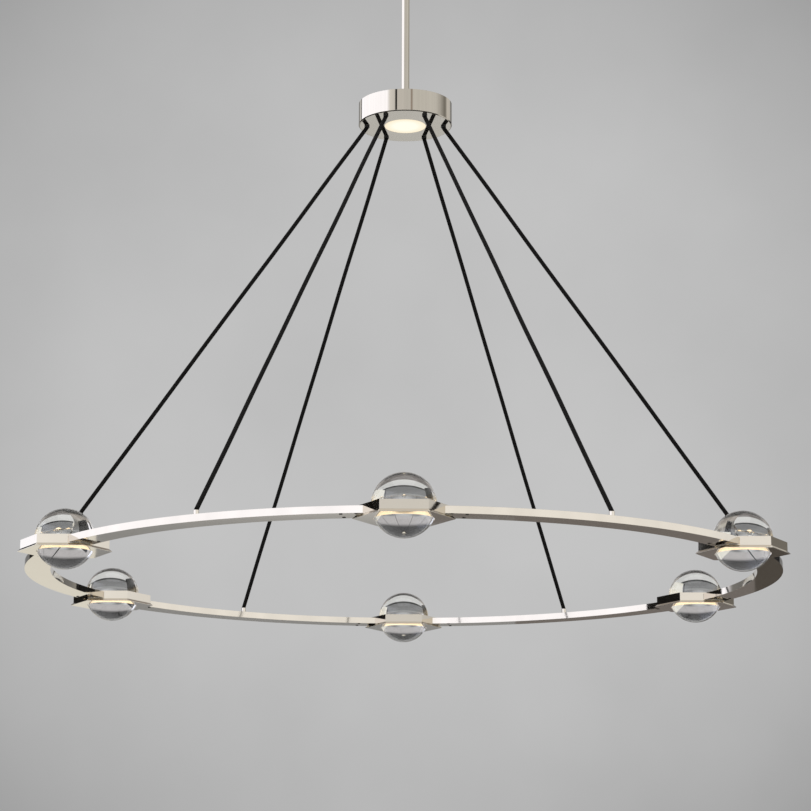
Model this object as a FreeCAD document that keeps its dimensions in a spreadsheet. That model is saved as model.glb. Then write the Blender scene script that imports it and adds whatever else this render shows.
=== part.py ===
import FreeCAD, Part
import Sketcher
import math
import os

# Orb chandelier. Millimetres, +Z up. The origin is the centre of the crossbar's top
# face, where the fixture meets the ceiling. The nearest ball lies towards -Y.

doc = FreeCAD.newDocument("orb_chandelier")
sheet = doc.addObject("Spreadsheet::Sheet", "Sizes")

driving = {
    # ring and stations
    "ring_radius": 690.0,          # centre line of the ring bar, through the ball centres
    "ball_count": 6,
    "bar_width": 48.0,             # radial
    "bar_height": 12.6,
    "bar_wall": 1.6,
    "bar_top_drop": 4.0,           # bar top below the ball centres
    "ball_radius": 54.0,
    "ball_gap": 0.3,               # ball to what carries it
    # collar and bezel
    "collar_side_gap": 5.2562,      # light ring to the collar's inner walls
    "collar_top_drop": 2.0,        # collar top below the ball centres
    "collar_height": 16.0,
    "collar_side_wall": 2.4,
    "collar_roof": 1.6,
    "collar_mouth_clearance": 1.2,
    "socket_clearance": 0.2,       # ring bar in the collar's side openings
    "bar_end_gap": 3.0,            # light ring to the end of the bar, along the ring
    "bezel_flare": 5.1,            # bezel's tips beyond the collar's
    "bezel_height": 4.9,
    "bezel_edge": 0.8,             # upright rim at the foot of the flare
    "bezel_lip": 1.5,              # thickness under the seat ring
    "seat_width": 3.421,           # from the ball, at the seat's foot
    "seat_height": 3.2,
    "seat_play": 0.1,
    "light_gap": 2.0,              # ball to the light ring
    "light_width": 4.5,
    "light_height": 10.0,
    # ring fixings
    "screw_beyond_bezel": 16.2,    # bezel's tip to the bar screws, along the ring
    "screw_offset": 16.0,          # bar centre line to the bar screws
    "screw_radius": 1.6,
    "screw_head_radius": 2.8,
    "screw_head_height": 0.9,
    "joiner_tail": 18.0,           # bar screws to the joiner's far end
    "joiner_width": 40.0,
    "joiner_height": 7.0,
    "joiner_foot_thickness": 1.9,  # upright foot between the bezel and the collar's roof
    "wire_channel_width": 5.0,
    "wire_channel_height": 4.0,
    "wire_radius": 1.4,
    "ferrule_radius": 4.8,
    "ferrule_height": 11.4,
    "ferrule_stem_radius": 2.5,
    "ferrule_nut_flat": 4.0,
    "ferrule_nut_height": 2.4,
    # cords
    "cord_radius": 4.0,
    "gland_circle_radius": 76.0,
    "gland_radius": 5.0,
    "gland_height": 3.0,           # below the hub plate
    "gland_stem_radius": 3.6,
    "gland_nut_flat": 6.0,
    "gland_nut_height": 3.0,
    "fixing_clearance": 0.1,       # screws, stems and studs in their holes
    # hub
    "gland_side_gap": 8.7,         # gland nuts to the hub's wall
    "hub_height": 44.8,
    "hub_wall": 2.0,
    "hub_bevel": 1.5,
    "hub_above_balls": 890.4,      # hub plate above the ball centres
    "plate_thickness": 5.0,
    "plate_gap": 0.2,
    "lamp_radius": 40.6,
    "lamp_thickness": 2.0,
    "lamp_recess": 2.2,
    "lamp_window_radius": 26.0,
    "board_radius": 25.5,
    "board_thickness": 1.6,
    "sink_radius": 30.0,
    "sink_height": 11.0,
    "sink_base": 3.0,
    "sink_groove_count": 3,
    "post_circle_radius": 35.2,
    "post_radius": 4.0,
    "post_count": 3,
    "post_turn": 90.0,             # the first post's place round the hub
    "plate_screw_radius": 1.7,
    "plate_screw_head_radius": 3.2,
    "plate_screw_length": 12.0,
    "frame_radius": 60.0,
    "frame_thickness": 4.0,
    "driver_length": 50.0,
    "driver_width": 28.0,
    "driver_height": 17.0,
    "driver_offset": 36.0,
    # rod
    "rod_radius": 8.0,
    "rod_wall": 1.5,
    "rod_length": 304.8,           # seen length, from the knuckle to the hub
    "rod_nut_flat": 12.0,
    "rod_nut_height": 5.0,
    "cable_radius": 2.5,
    "cable_bend": 8.0,
    # swivel
    "pin_radius": 3.0,
    "pin_running_clearance": 0.05,
    "pin_head_radius": 5.0,
    "pin_head_height": 1.6,
    "knuckle_thickness": 10.0,
    "knuckle_eye_radius": 8.0,
    "knuckle_plug_length": 18.0,
    "knuckle_shoulder_drop": 12.0, # pin centre to the top of the rod
    "knuckle_shoulder_height": 3.0,
    "fork_ear_thickness": 4.5,
    "fork_side_gap": 0.3,
    "fork_drop": 15.0,             # foot of the cup to the pin centre
    "fork_bridge": 4.0,
    "spindle_radius": 6.0,
    "spindle_bore_radius": 3.2,
    "spindle_head_radius": 9.0,
    "spindle_head_height": 4.0,
    "spindle_clearance": 0.05,
    "cup_radius": 15.0,
    "cup_height": 16.0,
    "cup_floor": 8.0,
    "cup_foot_gap": 0.4,           # foot of the cup to the fork
    "cap_height": 7.0,
    "cap_spigot_radius": 11.5,
    "cap_spigot_height": 2.7,
    # ceiling fixing
    "canopy_radius": 76.2,
    "canopy_depth": 30.0,
    "canopy_wall": 1.5,
    "canopy_bevel": 1.0,
    "nipple_radius": 4.8,
    "nipple_bore_radius": 3.2,
    "locknut_flat": 8.0,
    "locknut_height": 3.5,
    "bar_strap_length": 124.0,
    "bar_strap_width": 24.0,
    "bar_strap_thickness": 2.5,
    "box_slot_spacing": 79.4,
    "box_slot_length": 24.0,
    "box_slot_width": 5.0,
    "stud_spacing": 108.0,
    "stud_radius": 2.0,
    "screw_cap_radius": 5.5,
    "screw_cap_height": 8.0,
    "screw_cap_rounding": 2.0,
}
for row, (alias, value) in enumerate(driving.items(), start=1):
    sheet.set("A%d" % row, alias)
    sheet.set("B%d" % row, str(value))
    sheet.setAlias("B%d" % row, alias)
doc.recompute()

# Heights that follow from the driving sizes, as expressions.
# Hub, rod and swivel heights are in the row frame; ring heights are from the ball centres.
s = "Sizes."
cup_top = "(-%scanopy_depth - %scap_height)" % (s, s)
cup_foot = "(%s - %scup_height)" % (cup_top, s)
pin_z = "(%s - %sfork_drop)" % (cup_foot, s)
rod_top = "(%s - %sknuckle_shoulder_drop)" % (pin_z, s)
hub_top = "(%s - %srod_length)" % (rod_top, s)
hub_foot = "(%s - %shub_height)" % (hub_top, s)
ball_z = "(%s - %shub_above_balls)" % (hub_foot, s)
plate_top = "(%s + %splate_thickness)" % (hub_foot, s)
frame_top = "(%s - %shub_wall)" % (hub_top, s)
frame_foot = "(%s - %sframe_thickness)" % (frame_top, s)
bar_top = "(-%sbar_top_drop)" % s
bar_foot = "(%s - %sbar_height)" % (bar_top, s)
bar_floor = "(%s + %sbar_wall)" % (bar_foot, s)
bar_ceiling = "(%s - %sbar_wall)" % (bar_top, s)
collar_top = "(-%scollar_top_drop)" % s
collar_foot = "(%s - %scollar_height)" % (collar_top, s)
bezel_foot = "(%s - %sbezel_height)" % (collar_foot, s)
bezel_lip_top = "(%s + %sbezel_lip)" % (bezel_foot, s)
ferrule_top = "(%s + %sferrule_height)" % (bar_top, s)
# Radii round each ball, outwards, and the hub's, which clears its gland nuts.
ball_at_lip = "sqrt(%sball_radius ^ 2 - %s ^ 2)" % (s, bezel_lip_top)
seat_outer = "(%s + %sseat_width)" % (ball_at_lip, s)
light_inner = "(%sball_radius + %slight_gap)" % (s, s)
light_outer = "(%s + %slight_width)" % (light_inner, s)
bar_end_reach = "(%s + %sbar_end_gap)" % (light_outer, s)
collar_tip = "((%s + %scollar_side_gap + %scollar_side_wall) / cos(30 deg))" % (light_outer, s, s)
bezel_tip = "(%s + %sbezel_flare)" % (collar_tip, s)
screw_reach = "(%s + %sscrew_beyond_bezel)" % (bezel_tip, s)
joiner_reach = "(%s + %sjoiner_tail)" % (screw_reach, s)
hub_inner = "(%sgland_circle_radius + %sgland_nut_flat + %sgland_side_gap)" % (s, s, s)
hub_outer = "(%s + %shub_wall)" % (hub_inner, s)


def number(text):
    """The present value of an expression."""
    value = sheet.evalExpression(text)
    return float(getattr(value, "Value", value))


def planeOf(body, role):
    for feature in body.Origin.OriginFeatures:
        if feature.Role == role:
            return feature


def newBody(label, z="0", bearing="0"):
    """An empty body, raised by z and turned about the vertical axis by bearing degrees."""
    body = doc.addObject("PartDesign::Body", label)
    body.Label = label
    body.setExpression("Placement.Base.z", z)
    body.setExpression("Placement.Rotation.Angle", bearing)
    return body


def newSketch(body, plane, offset="0"):
    """A sketch on one of the body's planes, moved along its normal by offset."""
    sketch = body.newObject("Sketcher::SketchObject", body.Name + "_sketch")
    sketch.AttachmentSupport = (planeOf(body, plane), [""])
    sketch.MapMode = "FlatFace"
    sketch.setExpression(".AttachmentOffset.Base.z", offset)
    return sketch


def hold(sketch, kind, places, text):
    """One dimension of a sketch, bound to an expression."""
    index = sketch.addConstraint(Sketcher.Constraint(kind, *places, number(text)))
    sketch.setExpression("Constraints[%d]" % index, text)


def drawOutline(sketch, points):
    """A closed outline of straight sides, each corner held from the origin."""
    corners = [FreeCAD.Vector(number(x), number(y), 0) for x, y in points]
    first = sketch.GeometryCount
    for i, corner in enumerate(corners):
        sketch.addGeometry(Part.LineSegment(corner, corners[(i + 1) % len(corners)]), False)
    for i, (x, y) in enumerate(points):
        following = first + (i + 1) % len(points)
        sketch.addConstraint(Sketcher.Constraint("Coincident", first + i, 2, following, 1))
        hold(sketch, "DistanceX", (-1, 1, first + i, 1), x)
        hold(sketch, "DistanceY", (-1, 1, first + i, 1), y)


def drawCircle(sketch, x, y, radius):
    centre = FreeCAD.Vector(number(x), number(y), 0)
    normal = FreeCAD.Vector(0, 0, 1)
    index = sketch.addGeometry(Part.Circle(centre, normal, number(radius)), False)
    hold(sketch, "DistanceX", (-1, 1, index, 3), x)
    hold(sketch, "DistanceY", (-1, 1, index, 3), y)
    hold(sketch, "Radius", (index,), radius)


def drawAxis(sketch, x):
    """An upright construction line, used as an axis."""
    low = FreeCAD.Vector(number(x), 0, 0)
    high = FreeCAD.Vector(number(x), number(s + "bar_width"), 0)
    index = sketch.addGeometry(Part.LineSegment(low, high), True)
    hold(sketch, "DistanceX", (-1, 1, index, 1), x)
    hold(sketch, "DistanceY", (-1, 1, index, 1), "0")
    hold(sketch, "DistanceX", (-1, 1, index, 2), x)
    hold(sketch, "DistanceY", (-1, 1, index, 2), s + "bar_width")


def drawHexagon(sketch, x, y, tip, across="0"):
    """A regular hexagon with two tips along Y, or along X where across is 90."""
    points = []
    for i in range(6):
        turn = "(%s deg + %d deg)" % (across, 60 * i)
        px = "%s + %s * sin(%s)" % (x, tip, turn)
        py = "%s + %s * cos(%s)" % (y, tip, turn)
        points.append((px, py))
    drawOutline(sketch, points)


def rectangle(x0, x1, y0, y1):
    return [(x0, y0), (x1, y0), (x1, y1), (x0, y1)]


def pad(body, sketch, length):
    """Raise a sketch by length along its normal."""
    feature = body.newObject("PartDesign::Pad", body.Name + "_pad")
    feature.Profile = sketch
    feature.setExpression("Length", length)
    return feature


def pocket(body, sketch, depth, upwards=False):
    """Cut a sketch to a depth, against its normal unless upwards."""
    feature = body.newObject("PartDesign::Pocket", body.Name + "_pocket")
    feature.Profile = sketch
    feature.Reversed = upwards
    feature.setExpression("Length", depth)
    return feature


def turn(body, sketch, kind="Revolution", axis="V_Axis", angle=None):
    """Turn a sketch about its upright axis, fully or by an angle to both sides."""
    feature = body.newObject("PartDesign::" + kind, body.Name + "_turn")
    feature.Profile = sketch
    feature.ReferenceAxis = (sketch, [axis])
    if angle is None:
        feature.Angle = 360
    else:
        feature.Midplane = True
        feature.setExpression("Angle", angle)
    return feature


def turned(label, points, z="0"):
    """A round piece about the main axis, from its (radius, height) outline."""
    body = newBody(label, z)
    sketch = newSketch(body, "XZ_Plane")
    drawOutline(sketch, points)
    turn(body, sketch)
    return body


def turnedAt(body, x, points, kind="Revolution"):
    """A round feature about an upright axis at x, from (distance, height) pairs."""
    sketch = newSketch(body, "XZ_Plane")
    drawAxis(sketch, x)
    drawOutline(sketch, [("%s + %s" % (x, px), py) for px, py in points])
    return turn(body, sketch, kind, "Axis0")


def around(body, features, count):
    """Repeat features evenly about the body's vertical axis."""
    doc.recompute()
    pattern = body.newObject("PartDesign::PolarPattern", body.Name + "_pattern")
    pattern.Originals = features
    pattern.Axis = (planeOf(body, "Z_Axis"), [""])
    pattern.Angle = 360
    pattern.setExpression("Occurrences", count)
    body.Tip = pattern
    return pattern


def stationTurn(index, share="0"):
    """The turn of a station about the main axis; the first one lies towards -Y."""
    return "(-90 + 360 * (%d + %s) / %sball_count)" % (index, share, s)


def clear(text, clearance="fixing_clearance"):
    return "(%s + %s%s)" % (text, s, clearance)


stationCount = int(driving["ball_count"])
radius = s + "ring_radius"


# ---- ceiling fixing ----

def makeCrossbar():
    body = newBody("ceiling_crossbar")
    sketch = newSketch(body, "XY_Plane", "-%sbar_strap_thickness" % s)
    half = "%sbar_strap_length / 2" % s
    wide = "%sbar_strap_width / 2" % s
    drawOutline(sketch, rectangle("-" + half, half, "-" + wide, wide))
    pad(body, sketch, s + "bar_strap_thickness")
    holes = newSketch(body, "XY_Plane")
    drawCircle(holes, "0", "0", s + "nipple_radius")
    for side in ("-1", "1"):
        drawCircle(holes, "%s * %sstud_spacing / 2" % (side, s), "0", s + "stud_radius")
    pocket(body, holes, s + "bar_strap_thickness")
    for side in ("-1", "1"):
        centre = "%s * %sbox_slot_spacing / 2" % (side, s)
        run = "(%sbox_slot_length - %sbox_slot_width) / 2" % (s, s)
        slot = newSketch(body, "XY_Plane")
        drawSlot(slot, centre, run, s + "box_slot_width / 2")
        pocket(body, slot, s + "bar_strap_thickness")
    return body


def drawSlot(sketch, x, run, end):
    """A slot along X with round ends, centred at (x, 0)."""
    left = number("%s - %s" % (x, run))
    right = number("%s + %s" % (x, run))
    size = number(end)
    up = FreeCAD.Vector(0, 0, 1)
    rightCircle = Part.Circle(FreeCAD.Vector(right, 0, 0), up, size)
    leftCircle = Part.Circle(FreeCAD.Vector(left, 0, 0), up, size)
    rightArc = Part.ArcOfCircle(rightCircle, -math.pi / 2, math.pi / 2)
    leftArc = Part.ArcOfCircle(leftCircle, math.pi / 2, 3 * math.pi / 2)
    topSide = Part.LineSegment(FreeCAD.Vector(right, size, 0), FreeCAD.Vector(left, size, 0))
    lowSide = Part.LineSegment(FreeCAD.Vector(left, -size, 0), FreeCAD.Vector(right, -size, 0))
    for piece in (rightArc, topSide, leftArc, lowSide):
        sketch.addGeometry(piece, False)
    sketch.addConstraint(Sketcher.Constraint("Tangent", 0, 2, 1, 1))
    sketch.addConstraint(Sketcher.Constraint("Tangent", 1, 2, 2, 1))
    sketch.addConstraint(Sketcher.Constraint("Tangent", 2, 2, 3, 1))
    sketch.addConstraint(Sketcher.Constraint("Tangent", 3, 2, 0, 1))
    hold(sketch, "DistanceX", (-1, 1, 0, 3), "%s + %s" % (x, run))
    hold(sketch, "DistanceY", (-1, 1, 0, 3), "0")
    hold(sketch, "DistanceX", (-1, 1, 2, 3), "%s - %s" % (x, run))
    hold(sketch, "DistanceY", (-1, 1, 2, 3), "0")
    hold(sketch, "Radius", (0,), end)


def makeCanopy():
    outer = s + "canopy_radius"
    inner = "(%scanopy_radius - %scanopy_wall)" % (s, s)
    foot = "-%scanopy_depth" % s
    floor = "(-%scanopy_depth + %scanopy_wall)" % (s, s)
    hole = clear(s + "nipple_radius")
    bevel = "%scanopy_bevel" % s
    points = [
        (hole, foot),
        ("%s - %s" % (outer, bevel), foot),
        (outer, "%s + %s" % (foot, bevel)),
        (outer, "0"),
        (inner, "0"),
        (inner, floor),
        (hole, floor),
    ]
    body = turned("canopy", points)
    holes = newSketch(body, "XY_Plane", floor)
    for side in ("-1", "1"):
        drawCircle(holes, "%s * %sstud_spacing / 2" % (side, s), "0", clear(s + "stud_radius"))
    pocket(body, holes, "%scanopy_wall" % s)
    return body


def makeCanopyScrews():
    """Two long screws down from the crossbar, whose round heads carry the canopy."""
    body = newBody("canopy_screws")
    under = "-%scanopy_depth" % s
    foot = "(-%scanopy_depth - %sscrew_cap_height)" % (s, s)
    points = [
        ("0", "0"),
        (s + "stud_radius", "0"),
        (s + "stud_radius", under),
        (s + "screw_cap_radius", under),
        (s + "screw_cap_radius", "%s + %sscrew_cap_rounding" % (foot, s)),
        ("%sscrew_cap_radius - %sscrew_cap_rounding" % (s, s), foot),
        ("0", foot),
    ]
    screw = turnedAt(body, "%sstud_spacing / 2" % s, points)
    around(body, [screw], "2")
    return body


def makeNipple():
    foot = "(-%scanopy_depth - %scap_height + %scap_spigot_height)" % (s, s, s)
    points = rectangle(s + "nipple_bore_radius", s + "nipple_radius", foot, "0")
    return turned("threaded_nipple", points)


def makeLocknuts():
    """One hexagon nut under the crossbar and one on the canopy's floor."""
    body = newBody("nipple_locknuts")
    under = "(-%sbar_strap_thickness - %slocknut_height)" % (s, s)
    above = "(-%scanopy_depth + %scanopy_wall)" % (s, s)
    for height in (under, above):
        sketch = newSketch(body, "XY_Plane", height)
        drawHexagon(sketch, "0", "0", "%slocknut_flat / cos(30 deg)" % s)
        drawCircle(sketch, "0", "0", s + "nipple_radius")
        pad(body, sketch, s + "locknut_height")
    return body


# ---- hang-straight swivel ----

def makeSwivelCap():
    top = "-%scanopy_depth" % s
    spigot = "(%s - %scap_spigot_height)" % (cup_top, s)
    bore_foot = "(%s + %scap_spigot_height)" % (cup_top, s)
    points = [
        (s + "nipple_radius", top),
        (s + "cup_radius", top),
        (s + "cup_radius", cup_top),
        (s + "cap_spigot_radius", cup_top),
        (s + "cap_spigot_radius", spigot),
        (s + "spindle_bore_radius", spigot),
        (s + "spindle_bore_radius", bore_foot),
        (s + "nipple_radius", bore_foot),
    ]
    return turned("swivel_cap", points)


def makeSwivelCup():
    floor = "(%s + %scup_floor)" % (cup_foot, s)
    step = "(%s - %scap_spigot_height - %sfixing_clearance)" % (cup_top, s, s)
    spigot = clear(s + "cap_spigot_radius")
    chamber = "(%sspindle_head_radius + %sball_gap)" % (s, s)
    bore = clear(s + "spindle_radius", "spindle_clearance")
    points = [
        (spigot, cup_top),
        (s + "cup_radius", cup_top),
        (s + "cup_radius", cup_foot),
        (bore, cup_foot),
        (bore, floor),
        (chamber, floor),
        (chamber, step),
        (spigot, step),
    ]
    return turned("swivel_cup", points)


fork_top = "(%s - %scup_foot_gap)" % (cup_foot, s)
fork_inner = "(%sknuckle_thickness / 2 + %sfork_side_gap)" % (s, s)
fork_outer = "(%s + %sfork_ear_thickness)" % (fork_inner, s)
fork_width = "%sknuckle_eye_radius" % s


def makeSwivelYoke():
    """Hollow spindle with a head that rests on the cup's floor, and a fork for the pin."""
    head_foot = "(%s + %scup_floor + %sfixing_clearance)" % (cup_foot, s, s)
    head_top = "(%s + %sspindle_head_height)" % (head_foot, s)
    bridge_foot = "(%s - %sfork_bridge)" % (fork_top, s)
    body = newBody("swivel_yoke")
    ears = newSketch(body, "YZ_Plane", "-1 * %s" % fork_outer)
    drawOutline(ears, rectangle("-" + fork_width, fork_width, pin_z, fork_top))
    pad(body, ears, "2 * %s" % fork_outer)
    eyes = newSketch(body, "YZ_Plane", "-1 * %s" % fork_outer)
    drawCircle(eyes, "0", pin_z, fork_width)
    pad(body, eyes, "2 * %s" % fork_outer)
    gap = newSketch(body, "YZ_Plane", "-1 * %s" % fork_inner)
    deep = "(%s - 2 * %s)" % (pin_z, fork_width)
    drawOutline(gap, rectangle("-2 * " + fork_width, "2 * " + fork_width, deep, bridge_foot))
    pocket(body, gap, "2 * %s" % fork_inner, upwards=True)
    pin = newSketch(body, "YZ_Plane", "-1 * %s" % fork_outer)
    drawCircle(pin, "0", pin_z, s + "pin_radius")
    pocket(body, pin, "2 * %s" % fork_outer, upwards=True)
    spindle = newSketch(body, "XZ_Plane")
    points = [
        ("0", bridge_foot),
        (s + "spindle_radius", bridge_foot),
        (s + "spindle_radius", head_foot),
        (s + "spindle_head_radius", head_foot),
        (s + "spindle_head_radius", head_top),
        ("0", head_top),
    ]
    drawOutline(spindle, points)
    turn(body, spindle)
    bore = newSketch(body, "XY_Plane", head_top)
    drawCircle(bore, "0", "0", s + "spindle_bore_radius")
    pocket(body, bore, "%s - %s" % (head_top, bridge_foot))
    return body


def makeSwivelPin():
    """Shoulder pin across the fork, with a head at each end."""
    body = newBody("swivel_pin")
    shaft = newSketch(body, "YZ_Plane", "-1 * %s" % fork_outer)
    drawCircle(shaft, "0", pin_z, s + "pin_radius")
    pad(body, shaft, "2 * %s" % fork_outer)
    for start in ("-1 * (%s + %spin_head_height)" % (fork_outer, s), fork_outer):
        head = newSketch(body, "YZ_Plane", start)
        drawCircle(head, "0", pin_z, s + "pin_head_radius")
        pad(body, head, s + "pin_head_height")
    return body


# ---- rod ----

rod_bore = "(%srod_radius - %srod_wall)" % (s, s)
rod_foot = "(%s - %srod_nut_height - %ssocket_clearance)" % (frame_foot, s, s)


def makeKnuckle():
    """Eye on the swivel pin, a round shoulder and a plug that screws into the rod."""
    body = newBody("rod_knuckle")
    half = "(%sknuckle_thickness / 2)" % s
    shoulder = "(%s + %sknuckle_shoulder_height)" % (rod_top, s)
    plug_foot = "(%s - %sknuckle_plug_length)" % (rod_top, s)
    neck = newSketch(body, "YZ_Plane", "-1 * " + half)
    slim = "(%sknuckle_eye_radius - %spin_head_height)" % (s, s)
    drawOutline(neck, rectangle("-" + slim, slim, shoulder, pin_z))
    pad(body, neck, "2 * " + half)
    eye = newSketch(body, "YZ_Plane", "-1 * " + half)
    drawCircle(eye, "0", pin_z, s + "knuckle_eye_radius")
    pad(body, eye, "2 * " + half)
    stem = newSketch(body, "XZ_Plane")
    points = [
        ("0", shoulder),
        (s + "rod_radius", shoulder),
        (s + "rod_radius", rod_top),
        (rod_bore, rod_top),
        (rod_bore, plug_foot),
        ("0", plug_foot),
    ]
    drawOutline(stem, points)
    turn(body, stem)
    hole = newSketch(body, "YZ_Plane", "-1 * " + half)
    drawCircle(hole, "0", pin_z, clear(s + "pin_radius", "pin_running_clearance"))
    pocket(body, hole, "2 * " + half, upwards=True)
    return body


def makeDownrod():
    return turned("downrod", rectangle(rod_bore, s + "rod_radius", rod_foot, rod_top))


def makeRodCable():
    """Supply cable: straight down the rod, then bent over to the driver."""
    body = newBody("rod_cable")
    top = "(%s - %sknuckle_plug_length)" % (rod_top, s)
    driver_mid = "(%s - %sdriver_height / 2)" % (frame_foot, s)
    bend_top = "(%s + %scable_bend)" % (driver_mid, s)
    driver_face = "(%sdriver_offset - %sdriver_width / 2)" % (s, s)
    circle = newSketch(body, "XY_Plane", bend_top)
    drawCircle(circle, "0", "0", s + "cable_radius")
    pad(body, circle, "%s - %s" % (top, bend_top))
    elbow = newSketch(body, "XY_Plane", bend_top)
    drawCircle(elbow, "0", "0", s + "cable_radius")
    axis_x = number("-%scable_bend" % s)
    length = number(s + "bar_width")
    low = FreeCAD.Vector(-length, axis_x, 0)
    high = FreeCAD.Vector(length, axis_x, 0)
    index = elbow.addGeometry(Part.LineSegment(low, high), True)
    hold(elbow, "DistanceX", (-1, 1, index, 1), "-%sbar_width" % s)
    hold(elbow, "DistanceY", (-1, 1, index, 1), "-%scable_bend" % s)
    hold(elbow, "DistanceX", (-1, 1, index, 2), s + "bar_width")
    hold(elbow, "DistanceY", (-1, 1, index, 2), "-%scable_bend" % s)
    bend = body.newObject("PartDesign::Revolution", "rod_cable_bend")
    bend.Profile = elbow
    bend.ReferenceAxis = (elbow, ["Axis0"])
    bend.Angle = 90
    bend.Reversed = True
    run = newSketch(body, "XZ_Plane", "%scable_bend" % s)
    drawCircle(run, "0", driver_mid, s + "cable_radius")
    pad(body, run, "%s - %scable_bend" % (driver_face, s))
    return body


# ---- hub ----

def makeHubShell():
    bevel = s + "hub_bevel"
    hole = clear(s + "rod_radius")
    points = [
        (hole, hub_top),
        (hub_outer, hub_top),
        (hub_outer, "%s + %s" % (hub_foot, bevel)),
        ("%s - %s" % (hub_outer, bevel), hub_foot),
        (hub_inner, hub_foot),
        (hub_inner, frame_top),
        (hole, frame_top),
    ]
    return turned("hub_shell", points)


def postPlace(index):
    """A post's place in the hub, as seen from above."""
    bearing = "(1 deg * (%spost_turn + %d * 360 / %spost_count))" % (s, index, s)
    reach = s + "post_circle_radius"
    return "%s * cos(%s)" % (reach, bearing), "%s * sin(%s)" % (reach, bearing)


def makeHubFrame():
    """Steel disc on the rod's end, with three posts down to the base plate."""
    body = newBody("hub_frame")
    points = rectangle(s + "rod_radius", s + "frame_radius", frame_foot, frame_top)
    sketch = newSketch(body, "XZ_Plane")
    drawOutline(sketch, points)
    turn(body, sketch)
    posts = newSketch(body, "XY_Plane", plate_top)
    for i in range(driving["post_count"]):
        x, y = postPlace(i)
        drawCircle(posts, x, y, s + "post_radius")
    pad(body, posts, "%s - %s" % (frame_foot, plate_top))
    holes = newSketch(body, "XY_Plane", plate_top)
    for i in range(driving["post_count"]):
        x, y = postPlace(i)
        drawCircle(holes, x, y, s + "plate_screw_radius")
    pocket(body, holes, "%splate_screw_length" % s, upwards=True)
    return body


def makeHubPlate():
    """Mirror-polished base plate: lamp recess, light window, gland and screw holes."""
    edge = "(%s - %splate_gap)" % (hub_inner, s)
    web = "(%s + %slamp_recess)" % (hub_foot, s)
    recess = clear(s + "lamp_radius", "plate_gap")
    points = [
        (recess, hub_foot),
        (edge, hub_foot),
        (edge, plate_top),
        (s + "lamp_window_radius", plate_top),
        (s + "lamp_window_radius", web),
        (recess, web),
    ]
    body = turned("hub_base_plate", points)
    gland = newSketch(body, "XY_Plane", plate_top)
    drawCircle(gland, s + "gland_circle_radius", "0", clear(s + "gland_stem_radius"))
    hole = pocket(body, gland, s + "plate_thickness")
    around(body, [hole], s + "ball_count")
    screws = newSketch(body, "XY_Plane", plate_top)
    heads = newSketch(body, "XY_Plane", "%s + %slamp_recess / 2" % (web, s))
    for i in range(driving["post_count"]):
        x, y = postPlace(i)
        drawCircle(screws, x, y, clear(s + "plate_screw_radius"))
        drawCircle(heads, x, y, clear(s + "plate_screw_head_radius"))
    pocket(body, screws, s + "plate_thickness")
    pocket(body, heads, "%slamp_recess" % s)
    return body


def makeHubScrews():
    """Screws through the plate's web into the posts, heads flush in their seats."""
    body = newBody("hub_base_screws", "0", s + "post_turn")
    web = "(%s + %slamp_recess)" % (hub_foot, s)
    seat = "(%s + %slamp_recess / 2)" % (web, s)
    shank_top = "(%s + %splate_screw_length - %ssocket_clearance)" % (plate_top, s, s)
    points = [
        ("0", web),
        (s + "plate_screw_head_radius", web),
        (s + "plate_screw_head_radius", seat),
        (s + "plate_screw_radius", seat),
        (s + "plate_screw_radius", shank_top),
        ("0", shank_top),
    ]
    screw = turnedAt(body, s + "post_circle_radius", points)
    around(body, [screw], s + "post_count")
    return body


def makeRodNut():
    body = newBody("rod_locknut")
    sketch = newSketch(body, "XY_Plane", "%s - %srod_nut_height" % (frame_foot, s))
    drawHexagon(sketch, "0", "0", "%srod_nut_flat / cos(30 deg)" % s)
    drawCircle(sketch, "0", "0", s + "rod_radius")
    pad(body, sketch, s + "rod_nut_height")
    return body


def makeDriver():
    body = newBody("led_driver")
    sketch = newSketch(body, "XY_Plane", "%s - %sdriver_height" % (frame_foot, s))
    half = "%sdriver_length / 2" % s
    near = "-(%sdriver_offset - %sdriver_width / 2)" % (s, s)
    far = "-(%sdriver_offset + %sdriver_width / 2)" % (s, s)
    drawOutline(sketch, rectangle("-" + half, half, far, near))
    pad(body, sketch, s + "driver_height")
    return body


def makeHeatSink():
    """Disc on the base plate over the light window, with ring fins on top."""
    body = newBody("lamp_heat_sink")
    base_top = "(%s + %ssink_base)" % (plate_top, s)
    top = "(%s + %ssink_height)" % (plate_top, s)
    boss_foot = "(%s + %slamp_recess + %sboard_thickness)" % (hub_foot, s, s)
    sketch = newSketch(body, "XZ_Plane")
    points = [
        ("0", boss_foot),
        (s + "board_radius", boss_foot),
        (s + "board_radius", plate_top),
        (s + "sink_radius", plate_top),
        (s + "sink_radius", top),
        ("0", top),
    ]
    drawOutline(sketch, points)
    turn(body, sketch)
    pitch = "(%ssink_radius / (2 * %ssink_groove_count + 1))" % (s, s)
    for i in range(driving["sink_groove_count"]):
        inner = "(%d * %s)" % (2 * i + 1, pitch)
        outer = "(%d * %s)" % (2 * i + 2, pitch)
        groove = newSketch(body, "XZ_Plane")
        drawOutline(groove, rectangle(inner, outer, base_top, "%s + %sfixing_clearance" % (top, s)))
        turn(body, groove, "Groove")
    return body


def makeLampBoard():
    foot = "(%s + %slamp_recess)" % (hub_foot, s)
    top = "(%s + %sboard_thickness)" % (foot, s)
    return turned("lamp_board", rectangle("0", s + "board_radius", foot, top))


def makeLampDiffuser():
    top = "(%s + %slamp_thickness)" % (hub_foot, s)
    return turned("lamp_diffuser", rectangle("0", s + "lamp_radius", hub_foot, top))


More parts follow.
